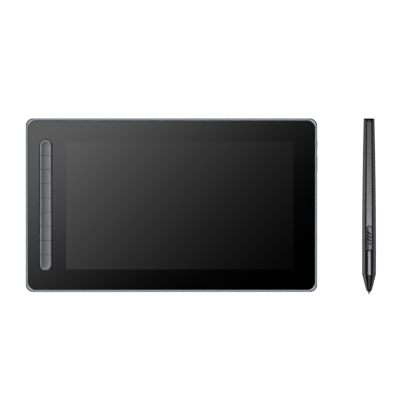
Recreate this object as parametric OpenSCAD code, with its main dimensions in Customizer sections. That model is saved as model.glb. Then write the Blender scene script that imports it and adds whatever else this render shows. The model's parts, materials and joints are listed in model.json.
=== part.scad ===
// Pen display: a slim tablet with a screen and a strip of shortcut keys, and its pen beside it.
// The origin is on the desk under the middle of the set. +X is the tablet's right, +Y its far edge.

/* [Tablet body] */
// Width of the tablet
tablet_w = 287.5; // [250:0.5:330]
// Depth of the tablet, from the near edge to the far edge
tablet_d = 171.3; // [150:0.1:200]
// Corner radius of the outline
corner_r = 7.1; // [6:0.1:10]
// Height of the side frame's wall
frame_h = 8; // [7.6:0.1:10]
// Width of the rim round the glass
rim_w = 2.15; // [1.8:0.05:3]
// Rounding of the rim's outer top edge
rim_round = 1.2; // [0.6:0.1:1.5]
// Chamfer of the rim's inner top edge
rim_chamfer = 0.35; // [0.1:0.05:0.5]
// Width of the ledge that carries the glass
ledge_w = 4.35; // [3.8:0.05:5]
// Thickness of that ledge
ledge_t = 1.2; // [0.8:0.1:1.5]
// Height of the rear cover's curved edge
cover_h = 2.8; // [2.4:0.1:3.2]
// Distance over which that edge curves in
cover_inset = 5; // [3:0.1:5.5]
// Upright part of that edge, below the seam
cover_edge = 0.4; // [0.2:0.1:0.8]
// Thickness of the rear cover's floor
floor_t = 1.6; // [1.4:0.1:2]
// Thickness of the rear cover's locating lip
lip_t = 1.2; // [0.8:0.1:1.5]
// Height of that lip inside the side frame
lip_h = 1; // [0.5:0.1:1.2]

/* [Front glass] */
// Thickness of the glass
glass_t = 1.1; // [0.7:0.1:1.5]
// Corner radius of the opening in the rim
opening_r = 7.7; // [5:0.1:10]
// Depth of the glass below the rim
glass_drop = 0.2; // [0:0.05:0.4]
// Thickness of the tape under the glass
tape_t = 0.2; // [0.1:0.05:0.4]
// Width of the tape
tape_w = 3.2; // [2:0.1:3.6]

/* [Display] */
// Border left of the picture area
active_left = 39.7; // [36:0.1:45]
// Border right of the picture area
active_right = 23.3; // [18:0.1:40]
// Border above the picture area
active_top = 22.7; // [21:0.1:26]
// Border below the picture area
active_bottom = 22.3; // [18:0.1:40]
// Margin of the display panel round the picture area
panel_margin = 3; // [2:0.1:4]
// Thickness of the display panel
panel_t = 1; // [0.7:0.1:1.2]
// Thickness of the light guide
guide_t = 0.9; // [0.6:0.1:1.1]
// Width of the LED bar along the light guide
led_w = 1.2; // [0.8:0.1:2]
// Sheet thickness of the backlight tray
tray_t = 0.4; // [0.3:0.05:0.6]
// Thickness of the digitizer board
digitizer_t = 0.8; // [0.5:0.1:1]
// Thickness of the shield plate
shield_t = 0.5; // [0.3:0.1:0.8]
// Diameter of the posts under the shield plate
post_d = 4; // [2:0.5:6]

/* [Shortcut keys] */
// Distance from the tablet's left edge to the middle of the keys
key_axis = 19.8; // [18:0.1:21]
// Width of the keys
key_w = 11.2; // [9:0.1:11.5]
// How far the strip of keys runs past the picture area at each end
strip_past = 1.15; // [0:0.05:3]
// Extra length of the rounded key at each end
key_end_extra = 1.3; // [0:0.1:3]
// Gap between two keys
key_gap = 0.35; // [0.2:0.05:0.6]
// Gap between the keys and the glass
slot_gap = 0.8; // [0.4:0.05:1]
// Height of the keys above the glass
key_proud = 0.3; // [0:0.05:0.6]
// Width of the raised lip along the keys
key_lip = 1.5; // [0.6:0.05:1.8]
// Depth of the dish between the lips
key_dish = 0.8; // [0.3:0.05:1.2]
// Travel of a key
key_travel = 0.5; // [0.2:0.05:0.6]
// Reach of the key's flange under the glass
key_flange = 1; // [0.6:0.1:1.2]
// Thickness of that flange
key_flange_t = 1; // [0.6:0.1:1.2]
// Length of the stem under a key
key_stem_len = 1.5; // [1:0.1:1.6]
// Diameter of that stem
key_stem_d = 2.4; // [1.5:0.1:3]
// Side of a key switch
key_switch_w = 5; // [4:0.1:6]
// Height of a key switch
key_switch_h = 1.5; // [1.2:0.1:1.8]
// Thickness of the key board
key_board_t = 1; // [0.6:0.1:1.2]
// Width of the key board
key_board_w = 9; // [7:0.1:12]
// Wall of the key carrier
carrier_wall = 1.2; // [0.8:0.1:1.6]

/* [Side buttons] */
// Height of a side button
button_h = 2.6; // [1.8:0.1:2.8]
// Height of a side button above the rim's wall
button_proud = 0.3; // [0.2:0.05:0.8]
// Travel of a side button
button_travel = 0.4; // [0.2:0.05:0.5]
// Rounding of a side button's ends
button_r = 0.9; // [0.3:0.1:1]
// Distance from the far edge to the middle of the power button
power_in = 25.75; // [24:0.05:29]
// Length of the power button
power_len = 6.8; // [5:0.1:9]
// Distance from the far edge to the gap between the brightness buttons
bright_in = 44.25; // [43:0.05:49]
// Length of a brightness button
bright_len = 7.15; // [5:0.05:9]
// Gap between the brightness buttons
bright_gap = 0.6; // [0.5:0.05:2]
// Thickness of the flange that keeps a button in
button_flange_t = 0.8; // [0.5:0.05:1]
// Reach of that flange above and below
button_flange = 0.35; // [0.2:0.05:0.4]
// Diameter of a button's plunger
plunger_d = 1.4; // [0.8:0.1:1.8]
// Side of a side switch
side_switch_w = 3.2; // [2.4:0.1:3.4]
// Depth of a side switch
side_switch_t = 1.4; // [1.2:0.1:1.8]
// Thickness of the side board
side_board_t = 0.8; // [0.5:0.1:1]

/* [Boards and sockets] */
// Length of the main board
board_len = 108; // [100:1:112]
// Thickness of the main board
board_t = 1; // [0.8:0.1:1.2]
// Distance from the main board's end to the tablet's right edge
board_end = 16; // [15:0.5:24]
// Height of the standoffs under the main board
standoff_h = 1.4; // [1:0.1:1.6]
// Diameter of those standoffs
standoff_d = 4.4; // [3.6:0.1:4.6]
// Shank diameter of a board screw
board_screw_d = 1.4; // [1:0.1:1.6]
// Width of a USB-C socket
usb_w = 8.94; // [8.9:0.01:9.2]
// Height of a USB-C socket
usb_h = 3.26; // [3.2:0.01:3.4]
// Depth of a USB-C socket
usb_depth = 7.35; // [6.5:0.05:8.5]
// Sheet thickness of a socket's shell
usb_wall = 0.3; // [0.2:0.05:0.35]
// Distance from the main board's end to the first socket
usb_in = 12; // [11.5:0.5:16]
// Spacing of the two sockets
usb_pitch = 20; // [14:0.5:24]
// Depth of a socket's mouth below the edge
usb_recess = 0.5; // [0.2:0.05:0.8]
// Thickness of the flat cables
flex_t = 0.25; // [0.15:0.05:0.4]

/* [Feet and screws] */
// Length of a foot
foot_len = 36; // [24:1:44]
// Width of a foot
foot_w = 9; // [6:0.5:12]
// Height of the feet below the rear cover
foot_h = 1.2; // [0.8:0.1:2]
// Depth of a foot's recess in the rear cover
foot_recess = 0.6; // [0.3:0.1:0.8]
// Distance from a foot's middle to the side edge
foot_x = 36; // [34:1:60]
// Distance from a foot's middle to the near or far edge
foot_y = 18; // [17:1:40]
// Distance from a case screw to the edge
screw_inset = 8; // [7.6:0.1:8.4]
// Shank diameter of a case screw
screw_d = 2; // [1.6:0.1:2.4]
// Head diameter of a case screw
screw_head_d = 3.8; // [3.4:0.1:4.4]
// Head height of a case screw
screw_head_h = 0.8; // [0.5:0.1:1]
// Length of a case screw's shank
screw_len = 5; // [4:0.5:6]
// Diameter of the frame's screw bosses
boss_d = 5; // [4.4:0.1:5.4]

/* [Pen body] */
// Gap between the tablet and the pen
pen_gap = 44.2; // [20:0.1:80]
// Length of the pen
pen_len = 173.3; // [168:0.1:190]
// Largest diameter of the pen, at the grip
pen_d = 13.8; // [13.4:0.1:15]
// Diameter at the tail end
tail_d = 10.8; // [10.4:0.1:12]
// Length of the straight grip behind the nose cone
grip_len = 24.5; // [5:0.1:40]
// Visible height of the end cap
cap_h = 1.7; // [1:0.1:3]
// Edge rounding of the end cap
cap_round = 0.4; // [0.2:0.1:0.9]
// Distance from the tail end to the seam of the tail
tail_len = 34.8; // [25:0.1:40]
// Bore of the tail
tail_bore_d = 7.8; // [7:0.1:8]
// Bore of the barrel
barrel_bore_d = 9.2; // [9.2:0.1:9.8]
// Length of the spigots that join the pen's sections
spigot_len = 7; // [5:0.1:7]
// Half the angle that the flat facet takes of the round section
facet_angle = 21.7; // [15:0.1:22]
// Distance from the end cap to the slope at the facet's far end
facet_in = 0.2; // [0.1:0.1:4]
// Length of that slope
facet_run = 1.9; // [0.8:0.1:3]

/* [Pen nose and nib] */
// Length of the nose cone
nose_len = 16.7; // [15:0.1:17.5]
// Half angle of the nose cone
nose_angle = 13.6; // [12.5:0.1:15]
// Rounding radius towards the nose's tip
nose_round = 5; // [4:0.1:7]
// Steepest half angle of that rounding
nose_tip_angle = 55; // [40:1:60]
// Diameter of the nose's tip
nose_tip_d = 2.6; // [2.5:0.1:3]
// Diameter of the nib
nib_d = 1.8; // [1:0.1:2]
// Length of nib that shows
nib_out = 2.1; // [1.5:0.1:3.5]
// Travel of the nib
nib_travel = 0.8; // [0.2:0.1:1]
// Diameter of the nib's holder
holder_d = 3.8; // [3:0.1:5]
// Length of the nib's holder
holder_len = 5; // [4:0.1:6]
// Diameter of the ferrite core
ferrite_d = 3.9; // [3.4:0.1:4.2]
// Diameter of the coil
coil_d = 5.8; // [5:0.1:6]
// Diameter of the pressure sensor
sensor_d = 6.8; // [5:0.1:6.9]
// Length of the pressure sensor
sensor_len = 9; // [6:0.1:9.5]

/* [Pen button] */
// Length of the rocker
rocker_len = 25.4; // [20:0.1:27]
// Width of the rocker
rocker_w = 5.3; // [4.8:0.1:6]
// Distance from the nose cone back to the rocker's pivot
rocker_back = 36.3; // [35:0.1:42]
// Height of the rocker above the barrel
rocker_proud = 0.4; // [0.2:0.1:0.8]
// Length of the rocker's pointed far end
rocker_point = 1.9; // [1:0.1:2.6]
// Place of that point, to the right of the pen's axis
point_right = 0.3; // [0:0.1:1]
// Place of the ridge along the rocker, to the left of the pen's axis
ridge_left = 0.45; // [0:0.05:1]
// Slope of the rocker's left side, in degrees
left_slope = 24; // [10:1:28]
// Slope of the rocker's right side, in degrees
right_slope = 5; // [0:1:12]
// Tilt of the rocker each way, in degrees
rocker_tilt = 3; // [1:0.5:3]
// Number of grip grooves
groove_count = 4; // [1:1:5]
// Spacing of the grip grooves along the pen
groove_pitch = 3.45; // [2.5:0.05:4]
// Width of a groove
groove_w = 0.8; // [0.4:0.1:1.2]
// Depth of a groove
groove_depth = 0.5; // [0.2:0.1:0.8]
// Length of a groove
groove_len = 4.6; // [3:0.1:5]
// Slant of the grooves, in degrees
groove_slant = 40; // [20:1:50]
// Diameter of the rocker's pin
pin_d = 1; // [0.8:0.1:1.2]
// Height of the pin above the pen's axis
pin_up = 2.8; // [2.6:0.1:3]
// Distance from the pivot to a pen switch
switch_at = 8; // [6:0.1:9]
// Height of a pen switch
pen_switch_h = 2.2; // [1.6:0.1:2.3]
// Thickness of the pen's circuit board
pen_board_t = 0.8; // [0.6:0.1:1]

/* [Hidden] */
$fn = 64;
KEYS = 9;

// Clearances
wall_fit = 0.15;     // pieces that drop into a frame or a recess
press_room = 0.1;    // spare room past the end of a button's travel
window_fit = 0.15;   // side buttons in their windows
seat_fit = 0.05;     // spigots, cores and screws in their bores
shaft_fit = 0.03;    // rocker on its pin
nib_fit = 0.08;      // nib in the nose
flange_room = 0.2;   // flanges behind the glass and the wall
over = 1;            // how far a cut runs past the solid

// Heights, from the desk up
z_floor = foot_h + floor_t;
z_seam = foot_h + cover_h;
z_top = z_seam + frame_h;
z_glass = z_top - glass_drop - glass_t;
z_ledge = z_glass - tape_t;
z_ledge_low = z_ledge - ledge_t;
z_panel = z_glass - panel_t;
z_guide = z_panel - guide_t;
z_tray = z_guide - tray_t;
z_digitizer = z_tray - digitizer_t;
z_shield = z_digitizer - shield_t;
z_board = z_floor + standoff_h;
z_board_top = z_board + board_t;

// Places of the set
set_w = tablet_w + pen_gap + pen_d;
set_d = max(tablet_d, pen_len);
tablet_x = (tablet_w - set_w) / 2;
tablet_y = (set_d - tablet_d) / 2;
pen_x = (set_w - pen_d) / 2;
pen_y = set_d / 2;

// Opening in the rim, and the glass in it
opening_w = tablet_w - 2 * rim_w;
opening_d = tablet_d - 2 * rim_w;

// Display stack, round the picture area
active_w = tablet_w - active_left - active_right;
active_d = tablet_d - active_top - active_bottom;
stack_x = active_left + active_w / 2 - tablet_w / 2;
stack_y = tablet_d / 2 - active_top - active_d / 2;
panel_w = active_w + 2 * panel_margin;
panel_d = active_d + 2 * panel_margin;
tray_w = panel_w + 2 * (wall_fit + tray_t);
tray_d = panel_d + 2 * (wall_fit + tray_t);
stack_far = stack_y + tray_d / 2;

// Shortcut keys, from the glass down
key_x = key_axis - tablet_w / 2;
strip_len = active_d + 2 * strip_past;
key_pitch = (strip_len - 2 * key_end_extra) / KEYS;
flange_reach = slot_gap + key_flange;
z_key = z_top - glass_drop + key_proud;
z_flange = z_glass - flange_room;
z_flange_low = z_flange - key_flange_t;
z_stem = z_flange_low - key_stem_len;
stem_in = 0.3;
z_key_switch = z_stem + stem_in;
z_key_board_top = z_key_switch - key_switch_h;
z_key_board = z_key_board_top - key_board_t;
z_carrier = z_key_board - carrier_wall;
carrier_fit = 0.3;
dish_half = key_w / 2 - key_lip;
dish_r = (dish_half * dish_half + key_dish * key_dish) / (2 * key_dish);

// Side buttons, from the right edge in
z_button = (z_seam + lip_h + z_ledge_low) / 2;
x_edge = tablet_w / 2;
x_flange = x_edge - rim_w - flange_room;
x_flange_in = x_flange - button_flange_t;
plunger_in = 0.3;
x_side_switch = x_flange_in - button_travel - press_room;
x_side_board = x_side_switch - side_switch_t;
x_side_board_in = x_side_board - side_board_t;
bright_pitch = bright_len + bright_gap;
power_y = tablet_d / 2 - power_in;
bright_y = tablet_d / 2 - bright_in;
BUTTONS = [[power_y, power_len], [bright_y + bright_pitch / 2, bright_len],
           [bright_y - bright_pitch / 2, bright_len]];

// Main board, between the display stack and the far edge
board_gap = 1.5;         // from the display stack to the board
board_fit = 0.5;         // from the board to the rear cover's lip
board_hole_in = 8;       // from the board's near edge to its screws
board_hole_end = 4.8;    // from the board's ends to its outer screws
board_x1 = tablet_w / 2 - board_end;
board_x0 = board_x1 - board_len;
board_y0 = stack_far + board_gap;
board_y1 = tablet_d / 2 - rim_w - wall_fit - lip_t - board_fit;
board_hole_y = board_y0 + board_hole_in;
BOARD_HOLES = [board_x0 + board_hole_end, (board_x0 + board_x1) / 2, board_x1 - board_hole_end];

// What stands on the main board
plug_in = 1;             // from the board's near edge to a plug
plug_end = 1;            // how far a plug reaches past its cable
plug_d = 3;
plug_h = 1.2;
chip_in = 5;             // from the board's near edge to the chips
chip_at = 14;            // from the board's left end to the first chip
chip_pitch = 12;
chip_w = 4.5;

// Flat cables, placed along the main board
cable_in = 3.5;          // from the board's near edge to the key and side cables
cable_w = 3.6;
cable_edge = 0.8;        // from the side cable to the end of the side board
display_cable_at = 24;   // from the board's left end
display_cable_w = 24;
digitizer_cable_at = 48; // from the board's left end
digitizer_cable_w = 12;
key_plug_in = 6;         // from the board's left end
side_plug_in = 2;        // from the board's right end
cable_y = board_y0 + cable_in;

// Side board, behind the side buttons
side_board_end = 2;      // past the last brightness button
rest_w = 2;              // width of the side board's rests
side_board_y0 = bright_y - bright_pitch / 2 - bright_len / 2 - side_board_end;
side_board_y1 = cable_y + cable_w / 2 + cable_edge;
SCREWS = [for (sx = [-1, 0, 1], sy = [-1, 1])
    [sx * (tablet_w / 2 - screw_inset), sy * (tablet_d / 2 - screw_inset)]];
FEET = [for (sx = [-1, 1], sy = [-1, 1])
    [sx * (tablet_w / 2 - foot_x), sy * (tablet_d / 2 - foot_y)]];

// Pen, measured along its axis from the tail end
pen_r = pen_d / 2;
z_tip = pen_len - nib_out;
z_nose = z_tip - nose_len;
taper_len = z_nose - grip_len;
taper_arc = taper_len * taper_len / (pen_d - tail_d);
seam_edge = 0.2;
facet_start = cap_h + facet_in;
grip_edge = 0.25;
barrel_steps = 24;

// Inside the nose
cone_len = nose_len - nose_round * (sin(nose_tip_angle) - sin(nose_angle));
nose_cavity_d = coil_d + 4 * seat_fit;
nose_cavity_len = 8;
ferrite_seat_len = 2.8;
ferrite_back = 4;        // how far the ferrite core reaches back out of the nose cone
holder_gap = 1.5;        // from the nose's spigot to the nib's holder
z_holder = z_nose - spigot_len - holder_gap - holder_len;
z_sensor = z_holder - nib_travel - 2 * press_room - sensor_len;

// Rocker, and the carrier and board under it
rocker_at = z_nose - rocker_back;
facet_end = rocker_at - rocker_len / 2 + rocker_w / 2;
slot_side = 0.3;
slot_end = 0.4;
carrier_r = barrel_bore_d / 2 - wall_fit;
trough_r = sensor_d / 2 + 2 * seat_fit;
carrier_gap = 6;         // from the tail's spigot to the carrier
carrier_start = tail_len + spigot_len + carrier_gap;
pen_board_low = 0.2;
pen_board_top = pen_board_low + pen_board_t;
pen_board_in = 2;        // from the carrier's end to the board
pen_board_rest = 0.4;    // how far the board lies on the trough's edges
sensor_gap = 0.5;        // from the board to the pressure sensor
ear_in = 1.95;
ear_t = 0.85;
ear_half = 2;
ear_wall = 0.3;          // above the pin's bore
keel_half = ear_in - wall_fit;
rocker_lift = 0.3;       // from the barrel's bore up to the rocker's underside
rocker_low = barrel_bore_d / 2 + rocker_lift;
plunger_room = switch_at * sin(rocker_tilt) + press_room;

frame_grey = [0.53, 0.56, 0.59];
glass_black = [0.08, 0.08, 0.09];
cover_grey = [0.17, 0.18, 0.19];
key_grey = [0.41, 0.41, 0.43];
pen_grey = [0.28, 0.29, 0.31];
pen_black = [0.07, 0.07, 0.08];
board_green = [0.1, 0.3, 0.2];
steel = [0.7, 0.71, 0.73];
cable_amber = [0.72, 0.5, 0.2];
part_black = [0.1, 0.1, 0.11];

module rounded_rect(w, d, r) {
    square([w - 2 * r, d], center = true);
    square([w, d - 2 * r], center = true);
    for (sx = [-1, 1], sy = [-1, 1])
        translate([sx * (w / 2 - r), sy * (d / 2 - r)])
            circle(r);
}

// A pill outline, long along Y
module pill(len, w) {
    square([w, len - w], center = true);
    for (s = [-1, 1])
        translate([0, s * (len - w) / 2])
            circle(w / 2);
}

module plate(w, d, r, z0, h) {
    translate([0, 0, z0])
        linear_extrude(h)
            rounded_rect(w, d, r);
}

module block(x0, x1, y0, y1, z0, z1) {
    translate([x0, y0, z0])
        cube([x1 - x0, y1 - y0, z1 - z0]);
}

// Sweeps a profile round a rounded rectangle: its x is outwards from the edge, its y is the height
module edge_sweep(w, d, r) {
    for (i = [0:3]) {
        reach = i % 2 == 0 ? w : d;
        span = i % 2 == 0 ? d : w;
        rotate(90 * i) {
            translate([reach / 2, span / 2 - r, 0])
                rotate([90, 0, 0])
                    linear_extrude(span - 2 * r)
                        children();
            translate([reach / 2 - r, span / 2 - r, 0])
                rotate_extrude(angle = 90)
                    translate([r, 0])
                        children();
        }
    }
}

// Straight runs of a flat cable between points, drawn in its side view
module ribbon(points) {
    for (i = [0:len(points) - 2]) {
        a = points[i];
        b = points[i + 1];
        low = [min(a.x, b.x), min(a.y, b.y)];
        size = [abs(b.x - a.x), abs(b.y - a.y)];
        translate(low - [flex_t / 2, flex_t / 2])
            square(size + [flex_t, flex_t]);
    }
}

module on_tablet() {
    translate([tablet_x, tablet_y, 0])
        children();
}

// Pen frame: z runs from the tail end to the tip, y points up from the desk
module on_pen() {
    translate([pen_x, pen_y, pen_r])
        rotate([90, 0, 0])
            children();
}

// Extrudes an outline drawn in Y and Z along X, from x0 to x1
module along_x(x0, x1) {
    translate([x0, 0, 0])
        rotate([90, 0, 90])
            linear_extrude(x1 - x0)
                children();
}

// Extrudes an outline drawn in X and Z along Y, from y0 to y1
module along_y(y0, y1) {
    translate([0, y1, 0])
        rotate([90, 0, 0])
            linear_extrude(y1 - y0)
                children();
}

module usb_outline(grow) {
    translate([0, z_board_top + usb_h / 2])
        rotate(90)
            pill(usb_w + 2 * grow, usb_h + 2 * grow);
}

module usb_windows() {
    for (i = [0, 1])
        translate([board_x1 - usb_in - i * usb_pitch, 0, 0])
            along_y(tablet_d / 2 - usb_recess - usb_depth, tablet_d / 2 + over)
                usb_outline(2 * wall_fit);
}

module button_windows() {
    for (b = BUTTONS)
        translate([0, b[0], z_button])
            along_x(x_edge - rim_w - over, x_edge + over)
                rounded_rect(b[1] + 2 * window_fit, button_h + 2 * window_fit, button_r + window_fit);
}

// The rear cover's outside: a flat floor whose edge curves up to the seam
module cover_shell() {
    curve_h = cover_h - cover_edge;
    edge_arc = (cover_inset * cover_inset + curve_h * curve_h) / (2 * curve_h);
    plate(tablet_w - 2 * cover_inset, tablet_d - 2 * cover_inset, corner_r - cover_inset, foot_h, cover_h);
    edge_sweep(tablet_w, tablet_d, corner_r) {
        intersection() {
            translate([-cover_inset, foot_h - over])
                square([cover_inset, cover_h + over]);
            translate([-cover_inset, foot_h + edge_arc])
                circle(edge_arc);
        }
        translate([-cover_inset - seat_fit, foot_h])
            square([2 * seat_fit, cover_h]);
    }
}

module rear_cover() {
    lip_in = rim_w + wall_fit;
    cavity_in = lip_in + lip_t;
    color(cover_grey)
    on_tablet()
    difference() {
        union() {
            difference() {
                union() {
                    cover_shell();
                    plate(tablet_w - 2 * lip_in, tablet_d - 2 * lip_in, corner_r - lip_in,
                          z_floor, z_seam + lip_h - z_floor);
                }
                plate(tablet_w - 2 * cavity_in, tablet_d - 2 * cavity_in, corner_r - cavity_in,
                      z_floor, z_top);
            }
            for (x = BOARD_HOLES)
                translate([x, board_hole_y, z_floor])
                    cylinder(h = standoff_h, d = standoff_d);
            for (sx = [-0.375, -0.125, 0.125, 0.375], sy = [-0.25, 0.25])
                translate([stack_x + sx * tray_w, stack_y + sy * tray_d, z_floor])
                    cylinder(h = z_shield - z_floor, d = post_d);
            for (s = [-1, 0, 1])
                translate([key_x, s * strip_len / 3, 0])
                    block(-key_board_w / 2, key_board_w / 2, -carrier_wall, carrier_wall,
                          z_floor, z_carrier);
            for (y = [side_board_y0 + rest_w, bright_y + bright_pitch])
                block(x_side_board_in - rest_w, x_side_board_in, y, y + rest_w, z_floor, z_button);
        }
        for (p = FEET)
            translate([p.x, p.y, foot_h - over])
                linear_extrude(foot_recess + over)
                    rotate(90)
                        pill(foot_len + 2 * wall_fit, foot_w + 2 * wall_fit);
        for (p = SCREWS)
            translate([p.x, p.y, foot_h - over]) {
                cylinder(h = floor_t + 2 * over, d = screw_d + 4 * seat_fit);
                cylinder(h = screw_head_h + over, d = screw_head_d + 4 * seat_fit);
            }
        for (x = BOARD_HOLES)
            translate([x, board_hole_y, z_floor])
                cylinder(h = standoff_h + over, d = board_screw_d + 2 * seat_fit);
        usb_windows();
    }
}

module side_frame() {
    ledge_in = rim_w + ledge_w;
    color(frame_grey)
    on_tablet()
    difference() {
        union() {
            difference() {
                plate(tablet_w, tablet_d, corner_r, z_seam, frame_h);
                plate(opening_w, opening_d, opening_r, z_ledge, z_top);
                plate(tablet_w - 2 * ledge_in, tablet_d - 2 * ledge_in, corner_r / 2,
                      z_seam - over, z_top);
                plate(opening_w, opening_d, corner_r - rim_w, z_seam - over,
                      z_ledge_low - z_seam + over);
                edge_sweep(tablet_w, tablet_d, corner_r)
                    translate([-rim_round, z_top - rim_round])
                        difference() {
                            square(2 * rim_round);
                            circle(rim_round);
                        }
                edge_sweep(opening_w, opening_d, opening_r)
                    polygon([[-over, z_top - rim_chamfer], [0, z_top - rim_chamfer],
                             [rim_chamfer, z_top], [rim_chamfer, z_top + over], [-over, z_top + over]]);
            }
            for (p = SCREWS)
                translate([p.x, p.y, z_floor])
                    cylinder(h = z_ledge - z_floor, d = boss_d);
        }
        for (p = SCREWS)
            translate([p.x, p.y, z_floor - over])
                cylinder(h = screw_len + over, d = screw_d + 2 * seat_fit);
        button_windows();
        usb_windows();
    }
}

module cover_glass() {
    color(glass_black)
    on_tablet()
    difference() {
        plate(opening_w - 2 * wall_fit, opening_d - 2 * wall_fit, opening_r - wall_fit, z_glass, glass_t);
        translate([key_x, 0, z_glass - over])
            linear_extrude(glass_t + 2 * over)
                pill(strip_len + 2 * slot_gap, key_w + 2 * slot_gap);
    }
}

module glass_tape() {
    tape_out = 2 * wall_fit;
    tape_in = tape_out + tape_w;
    color(part_black)
    on_tablet()
    difference() {
        plate(opening_w - 2 * tape_out, opening_d - 2 * tape_out, opening_r - tape_out, z_ledge, tape_t);
        plate(opening_w - 2 * tape_in, opening_d - 2 * tape_in, opening_r - tape_in,
              z_ledge - over, tape_t + 2 * over);
    }
}

// A sheet of the display stack, centred on the picture area
module stack_sheet(w, d, z0, h) {
    on_tablet()
    translate([stack_x - w / 2, stack_y - d / 2, z0])
        cube([w, d, h]);
}

module display_panel() {
    color("dimgray")
    stack_sheet(panel_w, panel_d, z_panel, panel_t);
}

module light_guide() {
    color("white")
    difference() {
        stack_sheet(panel_w, panel_d, z_guide, guide_t);
        translate([0, -panel_d + led_w + wall_fit, 0])
            stack_sheet(panel_w + 2 * over, panel_d, z_guide - over, guide_t + 2 * over);
    }
}

module led_bar() {
    color("ivory")
    intersection() {
        stack_sheet(panel_w, panel_d, z_guide, guide_t - wall_fit);
        translate([0, led_w - panel_d, 0])
            stack_sheet(panel_w + 2 * over, panel_d, z_guide, guide_t);
    }
}

module backlight_tray() {
    color(steel)
    difference() {
        stack_sheet(tray_w, tray_d, z_tray, tray_t + guide_t - wall_fit);
        stack_sheet(tray_w - 2 * tray_t, tray_d - 2 * tray_t, z_guide, guide_t + over);
    }
}

module digitizer_board() {
    color(board_green)
    stack_sheet(tray_w, tray_d, z_digitizer, digitizer_t);
}

module shield_plate() {
    color(steel)
    stack_sheet(tray_w, tray_d, z_shield, shield_t);
}

module main_board() {
    color(board_green)
    on_tablet()
    difference() {
        block(board_x0, board_x1, board_y0, board_y1, z_board, z_board_top);
        for (x = BOARD_HOLES)
            translate([x, board_hole_y, z_board - over])
                cylinder(h = board_t + 2 * over, d = board_screw_d + 4 * seat_fit);
    }
}

// Plugs and chips on the main board: the middle screw takes the place of the fourth chip
module board_parts() {
    plug_y = board_y0 + plug_in;
    chip_y = board_y0 + chip_in;
    color(part_black)
    on_tablet()
    translate([board_x0, 0, 0]) {
        for (plug = [[display_cable_at, display_cable_w], [digitizer_cable_at, digitizer_cable_w]])
            block(plug[0] - plug[1] / 2 - plug_end, plug[0] + plug[1] / 2 + plug_end,
                  plug_y, plug_y + plug_d, z_board_top, z_board_top + plug_h);
        for (i = [0, 1, 2, 4])
            block(chip_at + i * chip_pitch, chip_at + i * chip_pitch + chip_w,
                  chip_y, chip_y + chip_w, z_board_top, z_board_top + plug_h);
    }
}

module usb_socket(i) {
    y_mouth = tablet_d / 2 - usb_recess;
    back_wall = 1.2;
    tongue_w = 6.7;
    tongue_t = 0.7;
    color(steel)
    on_tablet()
    translate([board_x1 - usb_in - i * usb_pitch, 0, 0]) {
        difference() {
            along_y(y_mouth - usb_depth, y_mouth)
                usb_outline(0);
            along_y(y_mouth - usb_depth + back_wall, y_mouth + over)
                usb_outline(-usb_wall);
        }
        translate([0, 0, z_board_top + usb_h / 2])
            block(-tongue_w / 2, tongue_w / 2, y_mouth - usb_depth + back_wall / 2, y_mouth - back_wall,
                  -tongue_t / 2, tongue_t / 2);
    }
}

module board_screws() {
    head_h = 0.8;
    color(steel)
    on_tablet()
    for (x = BOARD_HOLES)
        translate([x, board_hole_y, z_floor + press_room]) {
            cylinder(h = z_board_top - z_floor, d = board_screw_d);
            translate([0, 0, z_board_top - z_floor - press_room])
                cylinder(h = head_h, d = 2 * board_screw_d);
        }
}

// Outline of the key strip, grown all round
module strip_outline(grow) {
    pill(strip_len + 2 * grow, key_w + 2 * grow);
}

function key_y1(i) = i == 0 ? strip_len / 2 + flange_reach + over
                            : (KEYS / 2 - i) * key_pitch - key_gap / 2;
function key_y0(i) = -key_y1(KEYS - 1 - i);
function key_mid(i) = ((KEYS - 1) / 2 - i) * key_pitch;

// One key, counted from the far end
module key(i) {
    z_dish = z_key + dish_r - key_dish;
    dish_end = strip_len / 2 - key_w / 2;
    color(key_grey)
    on_tablet()
    translate([key_x, 0, 0]) {
        intersection() {
            union() {
                translate([0, 0, z_flange_low])
                    linear_extrude(z_key - z_flange_low)
                        strip_outline(0);
                translate([0, 0, z_flange_low])
                    linear_extrude(key_flange_t)
                        strip_outline(flange_reach);
            }
            difference() {
                block(-key_w, key_w, key_y0(i), key_y1(i), z_flange_low, z_key);
                translate([0, 0, z_dish])
                    rotate([90, 0, 0])
                        cylinder(h = 2 * dish_end, r = dish_r, center = true);
                for (s = [-1, 1])
                    translate([0, s * dish_end, z_dish])
                        sphere(dish_r);
            }
        }
        translate([0, key_mid(i), z_stem])
            cylinder(h = key_stem_len, d = key_stem_d);
    }
}

module key_carrier() {
    inner = flange_reach + carrier_fit;
    color(part_black)
    on_tablet()
    translate([key_x, 0, 0])
    difference() {
        translate([0, 0, z_carrier])
            linear_extrude(z_glass - z_carrier)
                strip_outline(inner + carrier_wall);
        translate([0, 0, z_key_board])
            linear_extrude(z_glass)
                strip_outline(inner);
        block(-key_board_w / 2 - wall_fit, key_board_w / 2 + wall_fit, 0, tablet_d / 2,
              z_key_board, z_key_board_top + wall_fit);
    }
}

module key_board() {
    color(board_green)
    on_tablet()
    translate([key_x, 0, 0])
        block(-key_board_w / 2, key_board_w / 2, -strip_len / 2, cable_y + cable_w / 2,
              z_key_board, z_key_board_top);
}

module key_switches() {
    bore = stem_in + key_travel + press_room;
    color(part_black)
    on_tablet()
    for (i = [0:KEYS - 1])
        translate([key_x, key_mid(i), z_key_board_top])
            difference() {
                block(-key_switch_w / 2, key_switch_w / 2, -key_switch_w / 2, key_switch_w / 2,
                      0, key_switch_h);
                translate([0, 0, key_switch_h - bore])
                    cylinder(h = bore + over, d = key_stem_d + 2 * wall_fit);
            }
}

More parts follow.
